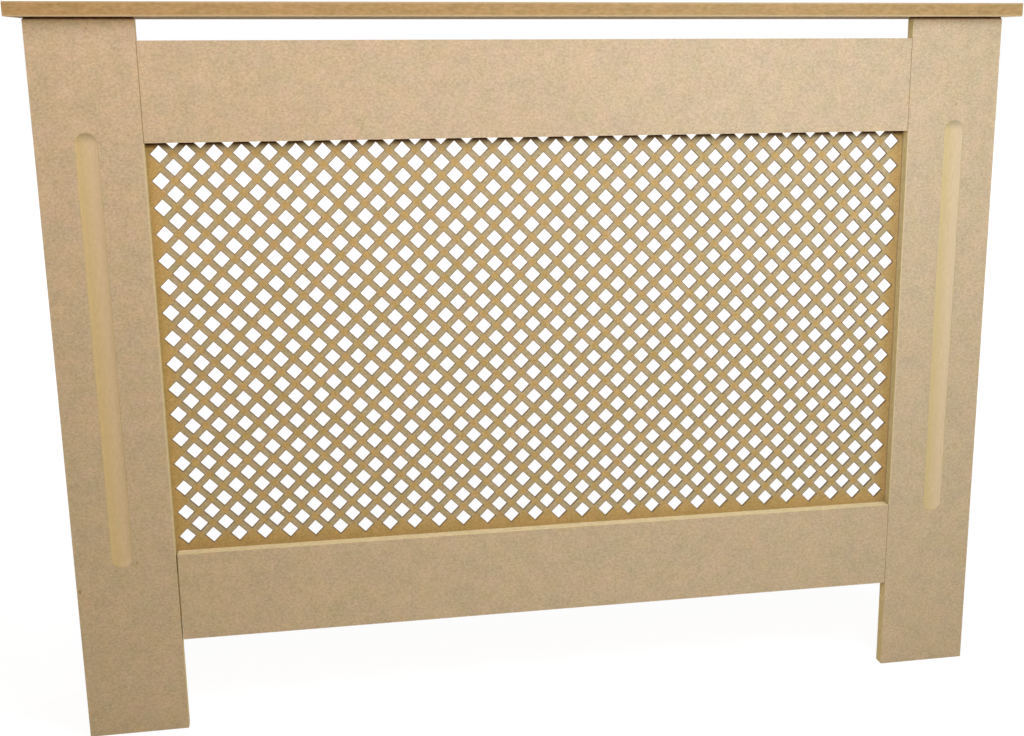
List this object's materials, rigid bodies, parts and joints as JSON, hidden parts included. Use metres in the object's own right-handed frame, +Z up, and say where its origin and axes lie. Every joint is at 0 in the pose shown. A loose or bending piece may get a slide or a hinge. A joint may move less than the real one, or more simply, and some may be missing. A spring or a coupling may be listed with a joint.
{
  "type": "radiator cover cabinet",
  "caption": "Raw fibreboard radiator cover: fluted stiles, rails, a flat diamond lattice grille, side panels with skirting notches and an overhanging shelf, open at the back.",
  "frame": {"origin": "on the floor, under the middle of the shelf in plan", "axes": "+X along the front to the viewer's right, +Y from the front towards the wall, +Z up"},
  "size_m": [1.12, 0.19, 0.825],
  "materials": {
    "board": "raw medium-density fibreboard, sanded faces and machined edges, unpainted",
    "grille_board": "raw thin fibreboard, pierced, unpainted",
    "beech": "beech dowels and pressed beech biscuits",
    "zinc_steel": "zinc plated steel",
    "zinc_casting": "die-cast zinc alloy, as cast",
    "staple_wire": "galvanised wire",
    "bracket_steel": "zinc plated steel strip"
  },
  "bodies": {
    "root": {"top_shelf": "board", "left_stile": "board", "right_stile": "board", "top_rail": "board", "bottom_rail": "board", "grille_panel": "grille_board", "left_side_panel": "board", "right_side_panel": "board", "rail_biscuits": "beech", "side_dowels": "beech", "shelf_dowels": "beech", "side_cam_bolts": "zinc_steel", "shelf_cam_bolts": "zinc_steel", "side_cam_locks": "zinc_casting", "shelf_cam_locks": "zinc_casting", "grille_staples": "staple_wire", "left_wall_bracket": "bracket_steel", "right_wall_bracket": "bracket_steel", "bracket_screws": "zinc_steel"}
  },
  "joints": []
}
